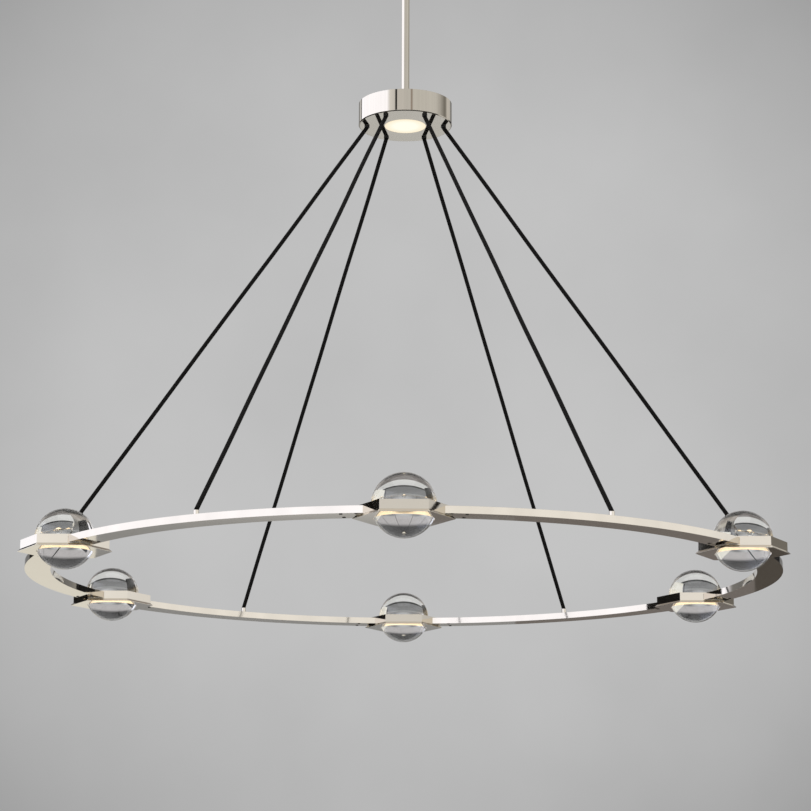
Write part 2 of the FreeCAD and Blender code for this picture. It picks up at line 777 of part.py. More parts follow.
def makeCordGlands():
    """Each gland has a stem through the plate and a round nose for its cord."""
    body = newBody("cord_glands", "0", stationTurn(0, "0.5"))
    foot = "(%s - %sgland_height)" % (hub_foot, s)
    stem_top = "(%s + %sgland_nut_height)" % (plate_top, s)
    points = [
        ("0", foot),
        (s + "gland_radius", foot),
        (s + "gland_radius", hub_foot),
        (s + "gland_stem_radius", hub_foot),
        (s + "gland_stem_radius", stem_top),
        ("0", stem_top),
    ]
    gland = turnedAt(body, s + "gland_circle_radius", points)
    around(body, [gland], s + "ball_count")
    return body


def makeGlandNuts():
    body = newBody("cord_gland_nuts", "0", stationTurn(0, "0.5"))
    sketch = newSketch(body, "XY_Plane", plate_top)
    drawHexagon(sketch, s + "gland_circle_radius", "0", "%sgland_nut_flat / cos(30 deg)" % s)
    drawCircle(sketch, s + "gland_circle_radius", "0", s + "gland_stem_radius")
    nut = pad(body, sketch, s + "gland_nut_height")
    around(body, [nut], s + "ball_count")
    return body


def makeCord(index):
    """A straight cord, cut level where it meets its gland and its ferrule."""
    name = "cord_%d" % (index + 1)
    top = "(%s - %sgland_height - %s)" % (hub_foot, s, ball_z)
    lean = "atan((%s - %sgland_circle_radius) / (%s - %s))" % (radius, s, top, ferrule_top)
    spare = "(4 * %scord_radius)" % s
    tube = doc.addObject("Part::Cylinder", name + "_tube")
    tube.setExpression("Radius", s + "cord_radius")
    tube.setExpression("Height", "(%s - %s) / cos(%s) + 2 * %s" % (top, ferrule_top, lean, spare))
    tube.Placement.Rotation = FreeCAD.Rotation(FreeCAD.Vector(0, -1, 0), 1)
    tube.setExpression("Placement.Rotation.Angle", lean)
    tube.setExpression("Placement.Base.x", "%s + %s * sin(%s)" % (radius, spare, lean))
    tube.setExpression("Placement.Base.z", "%s - %s * cos(%s)" % (ferrule_top, spare, lean))
    slab = doc.addObject("Part::Box", name + "_slab")
    slab.setExpression("Length", "2 * " + radius)
    slab.setExpression("Width", "2 * " + spare)
    slab.setExpression("Height", "%s - %s" % (top, ferrule_top))
    slab.setExpression("Placement.Base.y", "-" + spare)
    slab.setExpression("Placement.Base.z", ferrule_top)
    cord = doc.addObject("Part::Common", name)
    cord.Label = name
    cord.Base = tube
    cord.Tool = slab
    cord.setExpression("Placement.Base.z", ball_z)
    cord.setExpression("Placement.Rotation.Angle", stationTurn(index, "0.5"))
    return cord


# ---- ring ----

def makeArc(index):
    """Hollow bar from collar to collar, with holes for the ferrule and four screws."""
    body = newBody("ring_arc_%d" % (index + 1), ball_z, stationTurn(index, "0.5"))
    half = "%sbar_width / 2" % s
    inside = "(%sbar_width / 2 - %sbar_wall)" % (s, s)
    section = newSketch(body, "XZ_Plane")
    outer = rectangle("%s - %s" % (radius, half), "%s + %s" % (radius, half), bar_foot, bar_top)
    inner = rectangle("%s - %s" % (radius, inside), "%s + %s" % (radius, inside), bar_floor, bar_ceiling)
    drawOutline(section, outer)
    drawOutline(section, inner)
    sweep = "360 deg / %sball_count - 2 * asin(%s / %s)" % (s, bar_end_reach, radius)
    turn(body, section, angle=sweep)
    ferrule = newSketch(body, "XY_Plane", bar_top)
    drawCircle(ferrule, radius, "0", clear(s + "ferrule_stem_radius"))
    pocket(body, ferrule, s + "bar_wall")
    screws = newSketch(body, "XY_Plane", bar_floor)
    for side in ("-1", "1"):
        for offset in ("-1", "1"):
            x, y = screwPlace(side, offset)
            drawCircle(screws, x, y, clear(s + "screw_radius"))
    pocket(body, screws, s + "bar_wall")
    return body


screw_bearing = "asin(%s / %s)" % (screw_reach, radius)
arc_bearing = "(180 deg / %sball_count - %s)" % (s, screw_bearing)


def screwPlace(side, offset, lean=arc_bearing):
    """A bar screw's place, turned by lean from the middle of an arc or from a station."""
    reach = "(%s + %s * %sscrew_offset)" % (radius, offset, s)
    return "%s * cos(%s)" % (reach, lean), "%s * %s * sin(%s)" % (side, reach, lean)


def joinerSection(foot, top):
    """Outline of a joiner, with a channel for the wire along its underside."""
    half = "%sjoiner_width / 2" % s
    side = "%swire_channel_width / 2" % s
    roof = "%s + %swire_channel_height" % (bar_floor, s)
    return [
        ("%s - %s" % (radius, half), foot),
        ("%s - %s" % (radius, side), foot),
        ("%s - %s" % (radius, side), roof),
        ("%s + %s" % (radius, side), roof),
        ("%s + %s" % (radius, side), foot),
        ("%s + %s" % (radius, half), foot),
        ("%s + %s" % (radius, half), top),
        ("%s - %s" % (radius, half), top),
    ]


def makeJoiners():
    """Steel blocks from each collar into the bars' ends, where the bar screws hold them."""
    body = newBody("ring_joiners", ball_z, stationTurn(0))
    near = "(%s - %ssocket_clearance - %sjoiner_foot_thickness)" % (bar_end_reach, s, s)
    collar_roof = "(%s - %scollar_roof)" % (collar_top, s)
    block = newSketch(body, "XZ_Plane")
    drawOutline(block, joinerSection(bar_floor, "%s + %sjoiner_height" % (bar_floor, s)))
    blocks = turn(body, block, angle="2 * asin(%s / %s)" % (joiner_reach, radius))
    foot = newSketch(body, "XZ_Plane")
    drawOutline(foot, joinerSection(collar_foot, collar_roof))
    reach = "(%s + %sjoiner_foot_thickness)" % (near, s)
    feet = turn(body, foot, angle="2 * asin(%s / %s)" % (reach, radius))
    middle = newSketch(body, "XZ_Plane")
    half = "(%sjoiner_width / 2 + %sball_gap)" % (s, s)
    sides = ("%s - %s" % (radius, half), "%s + %s" % (radius, half))
    ends = ("%s - %sball_gap" % (collar_foot, s), "%s + %sball_gap" % (collar_roof, s))
    drawOutline(middle, rectangle(*sides, *ends))
    cut = turn(body, middle, "Groove", angle="2 * asin(%s / %s)" % (near, radius))
    threads = newSketch(body, "XY_Plane", bar_floor)
    for side in ("-1", "1"):
        for offset in ("-1", "1"):
            x, y = screwPlace(side, offset, screw_bearing)
            drawCircle(threads, x, y, s + "screw_radius")
    drilled = pocket(body, threads, s + "joiner_height", upwards=True)
    around(body, [blocks, feet, cut, drilled], s + "ball_count")
    return body


def makeRingScrews():
    body = newBody("ring_screws", ball_z, stationTurn(0, "0.5"))
    head_foot = "(%s - %sscrew_head_height)" % (bar_foot, s)
    shanks = newSketch(body, "XY_Plane", bar_foot)
    heads = newSketch(body, "XY_Plane", head_foot)
    for side in ("-1", "1"):
        for offset in ("-1", "1"):
            x, y = screwPlace(side, offset)
            drawCircle(shanks, x, y, s + "screw_radius")
            drawCircle(heads, x, y, s + "screw_head_radius")
    shank = pad(body, shanks, "%sbar_wall + %sjoiner_height" % (s, s))
    head = pad(body, heads, s + "screw_head_height")
    around(body, [shank, head], s + "ball_count")
    return body


def makeWires():
    """One wire inside each arc, lying on the bar's floor, from light ring to light ring."""
    body = newBody("ring_wires", ball_z, stationTurn(0, "0.5"))
    section = newSketch(body, "XZ_Plane")
    drawCircle(section, radius, clear("%s + %swire_radius" % (bar_floor, s)), s + "wire_radius")
    sweep = "360 deg / %sball_count - 2 * asin((%s + %sball_gap) / %s)" % (s, light_outer, s, radius)
    wire = turn(body, section, angle=sweep)
    around(body, [wire], s + "ball_count")
    return body


def makeFerrules():
    body = newBody("cord_ferrules", ball_z, stationTurn(0, "0.5"))
    stem_foot = "(%s - %sferrule_nut_height - %ssocket_clearance)" % (bar_ceiling, s, s)
    points = [
        ("0", stem_foot),
        (s + "ferrule_stem_radius", stem_foot),
        (s + "ferrule_stem_radius", bar_top),
        (s + "ferrule_radius", bar_top),
        (s + "ferrule_radius", ferrule_top),
        ("0", ferrule_top),
    ]
    ferrule = turnedAt(body, radius, points)
    around(body, [ferrule], s + "ball_count")
    return body


def makeFerruleNuts():
    body = newBody("ferrule_nuts", ball_z, stationTurn(0, "0.5"))
    sketch = newSketch(body, "XY_Plane", "%s - %sferrule_nut_height" % (bar_ceiling, s))
    drawHexagon(sketch, radius, "0", "%sferrule_nut_flat / cos(30 deg)" % s)
    drawCircle(sketch, radius, "0", s + "ferrule_stem_radius")
    nut = pad(body, sketch, s + "ferrule_nut_height")
    around(body, [nut], s + "ball_count")
    return body


# ---- stations ----

def makeCollar(index):
    """Hexagonal housing round a ball, open below, with side openings for the bar."""
    body = newBody("collar_%d" % (index + 1), ball_z, stationTurn(index))
    outline = newSketch(body, "XY_Plane", collar_foot)
    drawHexagon(outline, radius, "0", collar_tip)
    pad(body, outline, s + "collar_height")
    hollow = newSketch(body, "XY_Plane", collar_foot)
    drawHexagon(hollow, radius, "0", "(%s - %scollar_side_wall / cos(30 deg))" % (collar_tip, s))
    pocket(body, hollow, "%scollar_height - %scollar_roof" % (s, s), upwards=True)
    mouth = newSketch(body, "XY_Plane", collar_top)
    drawCircle(mouth, radius, "0", clear(s + "ball_radius", "collar_mouth_clearance"))
    pocket(body, mouth, s + "collar_height")
    half = "(%sbar_width / 2 + %ssocket_clearance)" % (s, s)
    socket = newSketch(body, "XZ_Plane")
    low = "(%s - %ssocket_clearance)" % (bar_foot, s)
    high = "(%s + %ssocket_clearance)" % (bar_top, s)
    drawOutline(socket, rectangle("%s - %s" % (radius, half), "%s + %s" % (radius, half), low, high))
    turn(body, socket, "Groove", angle="360 deg / %sball_count" % s)
    return body


def makeBezel(index):
    """Flared hexagonal lip that closes the collar from below and carries the ball."""
    body = newBody("bezel_%d" % (index + 1), ball_z, stationTurn(index))
    edge_top = "(%s + %sbezel_edge)" % (bezel_foot, s)
    rim = newSketch(body, "XY_Plane", bezel_foot)
    drawHexagon(rim, radius, "0", bezel_tip)
    pad(body, rim, s + "bezel_edge")
    wide = newSketch(body, "XY_Plane", edge_top)
    drawHexagon(wide, radius, "0", bezel_tip)
    narrow = newSketch(body, "XY_Plane", collar_foot)
    drawHexagon(narrow, radius, "0", collar_tip)
    flare = body.newObject("PartDesign::AdditiveLoft", body.Name + "_flare")
    flare.Profile = wide
    flare.Sections = [narrow]
    flare.Ruled = True
    doc.recompute()
    opening = clear(ball_at_lip, "ball_gap")
    points = [
        ("0", "%s - %sball_gap" % (bezel_foot, s)),
        (opening, "%s - %sball_gap" % (bezel_foot, s)),
        (opening, bezel_lip_top),
        (seat_outer, bezel_lip_top),
        (seat_outer, "%s + %sball_gap" % (collar_foot, s)),
        ("0", "%s + %sball_gap" % (collar_foot, s)),
    ]
    turnedAt(body, radius, points, "Groove")
    return body


def makeSeatRings():
    """Clear silicone rings between the balls and the bezels."""
    body = newBody("seat_rings", ball_z, stationTurn(0))
    top = "(%s + %sseat_height)" % (bezel_lip_top, s)
    low_radius = clear(ball_at_lip, "ball_gap")
    high_radius = clear("sqrt(%sball_radius ^ 2 - %s ^ 2)" % (s, top), "ball_gap")
    outer = "(%s - %sseat_play)" % (seat_outer, s)
    points = [
        (low_radius, bezel_lip_top),
        (outer, bezel_lip_top),
        (outer, top),
        (high_radius, top),
    ]
    ring = turnedAt(body, radius, points)
    around(body, [ring], s + "ball_count")
    return body


def makeLightRings():
    """LED rings that stand on the bezels and light the balls from their rims."""
    body = newBody("led_rings", ball_z, stationTurn(0))
    top = "(%s + %slight_height)" % (collar_foot, s)
    points = rectangle(light_inner, light_outer, collar_foot, top)
    ring = turnedAt(body, radius, points)
    around(body, [ring], s + "ball_count")
    return body


def makeBall(index):
    name = "crystal_ball_%d" % (index + 1)
    ball = doc.addObject("Part::Sphere", name)
    ball.Label = name
    ball.setExpression("Radius", s + "ball_radius")
    ball.setExpression("Placement.Base.x", "%s * cos(1 deg * %s)" % (radius, stationTurn(index)))
    ball.setExpression("Placement.Base.y", "%s * sin(1 deg * %s)" % (radius, stationTurn(index)))
    ball.setExpression("Placement.Base.z", ball_z)
    return ball


pieces = [
    makeCrossbar(),
    makeCanopy(),
    makeCanopyScrews(),
    makeNipple(),
    makeLocknuts(),
    makeSwivelCap(),
    makeSwivelCup(),
    makeSwivelYoke(),
    makeSwivelPin(),
    makeKnuckle(),
    makeDownrod(),
    makeRodCable(),
    makeHubShell(),
    makeHubFrame(),
    makeHubPlate(),
    makeHubScrews(),
    makeRodNut(),
    makeDriver(),
    makeHeatSink(),
    makeLampBoard(),
    makeLampDiffuser(),
    makeCordGlands(),
    makeGlandNuts(),
    makeJoiners(),
    makeRingScrews(),
    makeWires(),
    makeFerrules(),
    makeFerruleNuts(),
    makeSeatRings(),
    makeLightRings(),
]
for station in range(stationCount):
    pieces.append(makeCollar(station))
    pieces.append(makeBezel(station))
    pieces.append(makeArc(station))
    pieces.append(makeCord(station))
    pieces.append(makeBall(station))
doc.recompute()

for item in doc.Objects:
    if "Invalid" in item.State or "Error" in item.State:
        raise RuntimeError("%s did not build: %s" % (item.Label, item.State))
os.makedirs("parts", exist_ok=True)
for piece in pieces:
    if piece.Shape.isNull() or not piece.Shape.isValid():
        raise RuntimeError("%s has no valid shape" % piece.Label)
    piece.Shape.exportStep("parts/%s.step" % piece.Label)
    box = piece.Shape.BoundBox
    print("%-18s %2d solids %12.1f mm3  z %8.1f to %8.1f" % (
        piece.Label, len(piece.Shape.Solids), piece.Shape.Volume, box.ZMin, box.ZMax))
print("ball centres at z = %.2f mm" % number(ball_z))
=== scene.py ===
import bpy
import math
from mathutils import Matrix, Vector


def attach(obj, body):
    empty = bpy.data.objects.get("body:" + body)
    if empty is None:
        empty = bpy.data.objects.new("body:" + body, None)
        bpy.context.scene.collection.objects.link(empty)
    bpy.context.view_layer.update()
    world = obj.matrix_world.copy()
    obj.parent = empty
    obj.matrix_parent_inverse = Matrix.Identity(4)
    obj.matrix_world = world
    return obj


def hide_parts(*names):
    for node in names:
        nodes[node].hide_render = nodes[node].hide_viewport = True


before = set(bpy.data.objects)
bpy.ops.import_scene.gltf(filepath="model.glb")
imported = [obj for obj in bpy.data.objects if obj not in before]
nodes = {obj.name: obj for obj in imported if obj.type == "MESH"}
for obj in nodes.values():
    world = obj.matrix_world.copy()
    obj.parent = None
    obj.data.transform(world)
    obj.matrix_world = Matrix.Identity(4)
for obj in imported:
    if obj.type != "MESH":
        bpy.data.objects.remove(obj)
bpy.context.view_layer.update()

stationCount = 6    # balls, collars, ring arcs and cords go round the lamp in sixes
ringRadius = 0.690
mixSockets = {"low": 6, "high": 7, "result": 2}    # colour sockets of a mix node


def fromHex(code):
    # sRGB hex to linear light
    parts = [int(code[i:i + 2], 16) / 255 for i in (1, 3, 5)]
    return [c / 12.92 if c <= 0.04045 else ((c + 0.055) / 1.055) ** 2.4 for c in parts] + [1.0]


def stationAngle(firstAngle, k):
    return math.radians(firstAngle + 360 / stationCount * k)


def deselectAll():
    bpy.ops.object.select_all(action="DESELECT")


def putInScene(name, data):
    item = bpy.data.objects.new(name, data)
    bpy.context.scene.collection.objects.link(item)
    return item


def feed(tree, node, inputs):
    # each input is a number, a colour or another node's output
    for name, value in inputs.items():
        if isinstance(value, bpy.types.NodeSocket):
            tree.links.new(value, node.inputs[name])
        else:
            node.inputs[name].default_value = value


def addNode(tree, kind, inputs=None, **settings):
    node = tree.nodes.new(kind)
    for name, value in settings.items():
        setattr(node, name, value)
    feed(tree, node, inputs or {})
    return node


def maths(tree, operation, first, second=None):
    inputs = {0: first} if second is None else {0: first, 1: second}
    return addNode(tree, "ShaderNodeMath", inputs, operation=operation).outputs[0]


def noise(tree, vector, scale, detail):
    inputs = {"Vector": vector, "Scale": scale, "Detail": detail}
    return addNode(tree, "ShaderNodeTexNoise", inputs).outputs["Fac"]


def remap(tree, value, start=(0.0, 1.0), end=(0.0, 1.0), curve="LINEAR"):
    inputs = {"Value": value, "From Min": start[0], "From Max": start[1]}
    inputs.update({"To Min": end[0], "To Max": end[1]})
    return addNode(tree, "ShaderNodeMapRange", inputs, interpolation_type=curve).outputs[0]


def fade(tree, value, start):
    return remap(tree, value, start, curve="SMOOTHSTEP")


def blend(tree, factor, low, high):
    # low and high are hex codes or other nodes' outputs
    low, high = [fromHex(c) if isinstance(c, str) else c for c in (low, high)]
    inputs = {"Factor": factor, mixSockets["low"]: low, mixSockets["high"]: high}
    return addNode(tree, "ShaderNodeMix", inputs, data_type="RGBA").outputs[mixSockets["result"]]


def ramp(tree, factor, stops):
    band = addNode(tree, "ShaderNodeValToRGB", {"Fac": factor})
    while len(band.color_ramp.elements) < len(stops):
        band.color_ramp.elements.new(0.5)
    for element, (position, colour) in zip(band.color_ramp.elements, stops):
        element.position = position
        element.color = colour
    return band.outputs["Color"]


def axisDistance(tree, place):
    # distance from the lamp's vertical axis
    split = addNode(tree, "ShaderNodeSeparateXYZ", {"Vector": place.outputs["Object"]})
    squares = [maths(tree, "POWER", split.outputs[axis], 2.0) for axis in ("X", "Y")]
    return maths(tree, "SQRT", maths(tree, "ADD", *squares))


def addBump(tree, shader, height, distance, strength):
    inputs = {"Height": height, "Distance": distance, "Strength": strength}
    bump = addNode(tree, "ShaderNodeBump", inputs)
    feed(tree, shader, {"Normal": bump.outputs["Normal"]})


def startMaterial(name):
    material = bpy.data.materials.new(name)
    material.use_nodes = True
    tree = material.node_tree
    tree.nodes.clear()
    shader = addNode(tree, "ShaderNodeBsdfPrincipled")
    addNode(tree, "ShaderNodeOutputMaterial", {"Surface": shader.outputs["BSDF"]})
    place = addNode(tree, "ShaderNodeTexCoord")
    return material, tree, shader, place


# camera: below the ring, looking up a little

cameraSizes = {
    "place": (0.0, -4.4494, -2.0013),
    "pitch": 12.694,    # degrees above the horizon
    "yaw": -0.0286,
    "roll": 0.18,
    "lens": 104.55,     # mm, with the sensor below
    "sensor": 36.0,
    "clip": (0.05, 200),
}

cameraData = bpy.data.cameras.new("camera")
cameraData.lens = cameraSizes["lens"]
cameraData.sensor_width = cameraSizes["sensor"]
cameraData.clip_start, cameraData.clip_end = cameraSizes["clip"]
camera = putInScene("camera", cameraData)
camera.matrix_world = (
    Matrix.Translation(cameraSizes["place"])
    @ Matrix.Rotation(math.radians(cameraSizes["yaw"]), 4, "Z")
    @ Matrix.Rotation(math.radians(90 + cameraSizes["pitch"]), 4, "X")
    @ Matrix.Rotation(math.radians(cameraSizes["roll"]), 4, "Z")
)
bpy.context.scene.camera = camera
print("camera placed")


# suspension cords, each from a gland in the hub plate to a ferrule on the ring

cordSizes = {
    "firstAngle": -60.0,    # degrees; each cord meets the middle of a ring arc
    "topRadius": 0.076,
    "topHeight": -0.4326,
    "footHeight": -1.3126,
    "diameter": 0.008,
    "sides": 20,
    "straightEnd": 0.03,    # share of the length that stays straight at each end
    "lineSteps": 12,
    "lineOrder": 3,
}
braidSizes = {
    "pitch": 0.022,         # one turn of a strand along the cord
    "strands": 12,          # strands each way round
    "fibreScale": 900.0,
    "fibreDetail": 3.0,
    "depth": 0.0004,
    "strength": 0.8,
}
# a cloth-covered cord is never quite straight: share of its length, sideways and upward, in mm
cordWaves = [
    [(0.12, 0.9, -0.6), (0.27, -0.7, 0.5), (0.41, 0.8, 0.2),
     (0.56, -0.5, -0.7), (0.71, 0.7, 0.4), (0.86, -0.6, 0.3)],
    [(0.15, -0.8, 0.5), (0.30, 0.6, -0.6), (0.47, -0.9, 0.3),
     (0.60, 0.5, 0.6), (0.74, -0.6, -0.4), (0.88, 0.6, 0.2)],
    [(0.11, 0.6, 0.5), (0.24, -0.9, -0.3), (0.40, 0.7, 0.6),
     (0.53, -0.6, -0.5), (0.69, 0.9, 0.3), (0.84, -0.5, -0.5)],
    [(0.14, -0.7, -0.5), (0.29, 0.8, 0.4), (0.44, -0.6, 0.5),
     (0.58, 0.7, -0.6), (0.73, -0.8, 0.3), (0.87, 0.5, 0.4)],
    [(0.12, 0.8, 0.4), (0.26, -0.6, -0.6), (0.42, 0.9, 0.2),
     (0.55, -0.7, 0.6), (0.70, 0.5, -0.4), (0.85, -0.7, 0.3)],
    [(0.15, -0.6, 0.6), (0.28, 0.9, -0.4), (0.45, -0.5, 0.4),
     (0.59, 0.8, 0.5), (0.72, -0.9, -0.3), (0.86, 0.6, -0.4)],
]


def cordRoute(angle, waves):
    outward = Vector((math.cos(angle), math.sin(angle), 0))
    sideways = Vector((-math.sin(angle), math.cos(angle), 0))
    top = outward * cordSizes["topRadius"] + Vector((0, 0, cordSizes["topHeight"]))
    foot = outward * ringRadius + Vector((0, 0, cordSizes["footHeight"]))
    upward = (foot - top).cross(sideways).normalized()
    end = cordSizes["straightEnd"]
    route = [top]
    for share, across, lift in [(end, 0, 0), *waves, (1 - end, 0, 0)]:
        route.append(top.lerp(foot, share) + sideways * across / 1000 + upward * lift / 1000)
    route.append(foot)
    return route


def routeLine(name, route):
    # the smooth line through the route, read back as points
    data = bpy.data.curves.new(name, "CURVE")
    data.dimensions = "3D"
    data.resolution_u = cordSizes["lineSteps"]
    spline = data.splines.new("NURBS")
    spline.points.add(len(route) - 1)
    for point, place in zip(spline.points, route):
        point.co = (*place, 1)
    spline.order_u = cordSizes["lineOrder"]
    spline.use_endpoint_u = True
    line = putInScene(name, data)
    mesh = bpy.data.meshes.new_from_object(line)
    points = [v.co.copy() for v in mesh.vertices]
    bpy.data.objects.remove(line)
    bpy.data.meshes.remove(mesh)
    if (points[0] - route[0]).length > (points[-1] - route[0]).length:
        points.reverse()
    return points


def cordTube(name, points, radius, sides):
    # rings of vertices along the line, with a UV map: u round the cord, v along it in metres
    vertices, faces, corners = [], [], []
    along, travelled = [0.0], 0.0
    for a, b in zip(points, points[1:]):
        travelled += (b - a).length
        along.append(travelled)
    side = (points[1] - points[0]).normalized().cross(Vector((0, 0, 1))).normalized()
    last = len(points) - 1
    for i, point in enumerate(points):
        before, after = (0, last) if i in (0, last) else (i - 1, i + 1)
        heading = (points[after] - points[before]).normalized()
        side = (side - heading * side.dot(heading)).normalized()
        up = heading.cross(side)
        for k in range(sides):
            turn = 2 * math.pi * k / sides
            vertices.append(point + (side * math.cos(turn) + up * math.sin(turn)) * radius)
    for i in range(last):
        here, there = i * sides, (i + 1) * sides
        for k in range(sides):
            n = (k + 1) % sides
            faces.append((here + k, here + n, there + n, there + k))
            u, nextU = k / sides, (k + 1) / sides
            corners += [(u, along[i]), (nextU, along[i]), (nextU, along[i + 1]), (u, along[i + 1])]
    faces.append(tuple(reversed(range(sides))))
    faces.append(tuple(range(last * sides, (last + 1) * sides)))
    corners += [(0, 0)] * sides * 2
    mesh = bpy.data.meshes.new(name)
    mesh.from_pydata([tuple(v) for v in vertices], [], faces)
    layer = mesh.uv_layers.new(name="UVMap")
    for i, uv in enumerate(corners):
        layer.data[i].uv = uv
    for polygon in mesh.polygons:
        polygon.use_smooth = len(polygon.vertices) == 4
    mesh.update()
    return putInScene(name, mesh)


# black polyester braid: matt, with a diamond pattern of flat strands in relief; the strands' crowns
# are painted lighter and the grooves between them darker, a painted light and shade on top of the
# bump
cordBraid, tree, shader, place = startMaterial("blackPolyesterBraid")
split = addNode(tree, "ShaderNodeSeparateXYZ", {"Vector": place.outputs["UV"]})
turns = maths(tree, "MULTIPLY", split.outputs["Y"], 1 / braidSizes["pitch"])
strands = []
for operation in ("ADD", "SUBTRACT"):
    hand = maths(tree, operation, split.outputs["X"], turns)
    phase = maths(tree, "MULTIPLY", hand, 2 * math.pi * braidSizes["strands"])
    strands.append(maths(tree, "SINE", phase))
raised = remap(tree, maths(tree, "MULTIPLY", *strands), (-1.0, 1.0))
fibre = noise(tree, place.outputs["Object"], braidSizes["fibreScale"], braidSizes["fibreDetail"])
relief = maths(tree, "ADD", raised, fibre)
addBump(tree, shader, relief, braidSizes["depth"], braidSizes["strength"])
feed(tree, shader, {
    # painted shade: the colour is darker in the grooves between strands and lighter on their crowns
    "Base Color": ramp(tree, raised, [(0.0, fromHex("#060505")), (1.0, fromHex("#171513"))]),
    "Roughness": 0.9,
    "Specular IOR Level": 0.2,
    "Sheen Weight": 0.03,
    "Sheen Roughness": 0.5,
})

for k in range(stationCount):
    route = cordRoute(stationAngle(cordSizes["firstAngle"], k), cordWaves[k])
    points = routeLine(f"cordLine{k + 1}", route)
    radius = cordSizes["diameter"] / 2
    cord = cordTube(f"suspension_cord_{k + 1}", points, radius, cordSizes["sides"])
    cord.data.materials.append(cordBraid)
    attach(cord, "pendant")
    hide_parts(f"cord_{k + 1}")
print("six cords hung")


# metals: tones and roughness drift slowly over the surface, or from crystal to crystal

metals = {
    # warm white metal, almost a mirror
    "polishedNickel": {
        "name": "polishedNickelPlate", "tones": ("#D6CEC1", "#DDD6CA"), "scale": 9.0,
        "span": (0.3, 0.7), "rough": (0.035, 0.06),
    },
    # the hub's base plate is the same plate polished to a mirror
    "mirrorNickel": {
        "name": "mirrorNickelPlate", "tones": ("#DAD5CB", "#E0DCD3"), "scale": 14.0,
        "span": (0.3, 0.7), "rough": (0.012, 0.025),
    },
    # blue-grey and dull, with a fine crystal mottle
    "zincSteel": {
        "name": "zincPlatedSteel", "tones": ("#9FA3A6", "#BFC3C6"), "scale": 500.0,
        "span": (0.0, 1.0), "rough": (0.28, 0.42),
    },
    # screw heads under the ring
    "darkSteel": {
        "name": "blackenedSteel", "tones": ("#3A3733", "#5A554E"), "scale": 700.0,
        "span": (0.0, 1.0), "rough": (0.25, 0.4),
    },
}
cloudDetail = 2.0
buffingMarks = {"scale": 420.0, "detail": 4.0, "depth": 0.000004, "strength": 0.3}
finishes = {}
for key, metal in metals.items():
    finishes[key], tree, shader, place = startMaterial(metal["name"])
    spot = place.outputs["Object"]
    if key == "zincSteel":
        crystals = addNode(tree, "ShaderNodeTexVoronoi", {"Vector": spot, "Scale": metal["scale"]})
        pattern = crystals.outputs["Distance"]
    else:
        pattern = noise(tree, spot, metal["scale"], cloudDetail)
    feed(tree, shader, {
        "Base Color": blend(tree, pattern, *metal["tones"]),
        "Roughness": remap(tree, pattern, metal["span"], metal["rough"]),
        "Metallic": 1.0,
    })
    if key == "polishedNickel":
        buffing = noise(tree, spot, buffingMarks["scale"], buffingMarks["detail"])
        addBump(tree, shader, buffing, buffingMarks["depth"], buffingMarks["strength"])

# turned aluminium: rings of fine tool marks round the lamp's axis
toolMarks = {"pitch": 0.0004, "depth": 0.00002, "strength": 0.5}
finishes["turnedAluminium"], tree, shader, place = startMaterial("turnedAluminium")
phase = maths(tree, "MULTIPLY", axisDistance(tree, place), 2 * math.pi / toolMarks["pitch"])
mark = maths(tree, "SINE", phase)
feed(tree, shader, {
    "Base Color": blend(tree, mark, "#BFC1C2", "#CDCFD0"),
    "Metallic": 1.0,
    "Roughness": 0.3,
})
addBump(tree, shader, mark, toolMarks["depth"], toolMarks["strength"])

# extruded plastics and rubber: soft sheen, a fine orange-peel skin
plastics = {
    # name, darker and lighter tone, roughness, grain
    "cableJacket": ("blackPvcJacket", "#1A1918", "#242220", 0.5, 600.0),
    "wireJacket": ("clearWireJacket", "#A9A9A7", "#C4C4C2", 0.35, 600.0),
    "driverCase": ("whitePolycarbonateCase", "#D8D8D5", "#E4E4E1", 0.45, 900.0),
    "lampBoard": ("whiteSolderMask", "#E6E6E0", "#F1F1EC", 0.4, 700.0),
    "cordGland": ("blackNylon", "#0F0F0F", "#1B1A19", 0.55, 900.0),
    "silicone": ("clearSiliconePaintedGlow", "#C9C8C4", "#D8D7D3", 0.4, 500.0),
}
skinMarks = {"detail": 3.0, "roughSpread": 0.06, "depth": 0.00005, "strength": 0.4}
spread = skinMarks["roughSpread"]
for key, (name, darker, lighter, rough, grain) in plastics.items():
    finishes[key], tree, shader, place = startMaterial(name)
    skin = noise(tree, place.outputs["Object"], grain, skinMarks["detail"])
    feed(tree, shader, {
        "Base Color": blend(tree, skin, darker, lighter),
        "Roughness": remap(tree, skin, end=(rough - spread, rough + spread)),
    })
    addBump(tree, shader, skin, skinMarks["depth"], skinMarks["strength"])
    if key == "silicone":
        # the clear seats stand in the light of the LED rings: their amber glow is painted light, an
        # emission
        feed(tree, shader, {"Emission Color": fromHex("#FFDCAA"), "Emission Strength": 0.3})

# opal acrylic, lit from behind: warm white, a little brighter in the middle
diffuser = {"radius": 0.0406, "brightShare": 0.55}
finishes["opalAcrylic"], tree, shader, place = startMaterial("opalAcrylicLit")
outward = remap(tree, axisDistance(tree, place), (0.0, diffuser["radius"]))
feed(tree, shader, {
    "Base Color": fromHex("#4A4843"),
    "Emission Color": ramp(tree, outward, [
        (diffuser["brightShare"], fromHex("#FFFBEA")), (1.0, fromHex("#FBEBCB")),
    ]),
    "Emission Strength": 0.95,
    "Roughness": 0.35,
})

# the light rings in the collars: warm LEDs behind a milky strip
ledScale = 160.0
finishes["warmLedStrip"], tree, shader, place = startMaterial("milkyLedStripLit")
spots = noise(tree, place.outputs["Object"], ledScale, 0.0)
feed(tree, shader, {
    "Base Color": fromHex("#F2E6CC"),
    "Emission Color": blend(tree, spots, "#FFE0AE", "#FFF0D4"),
    "Emission Strength": 1.3,
    "Roughness": 0.4,
})

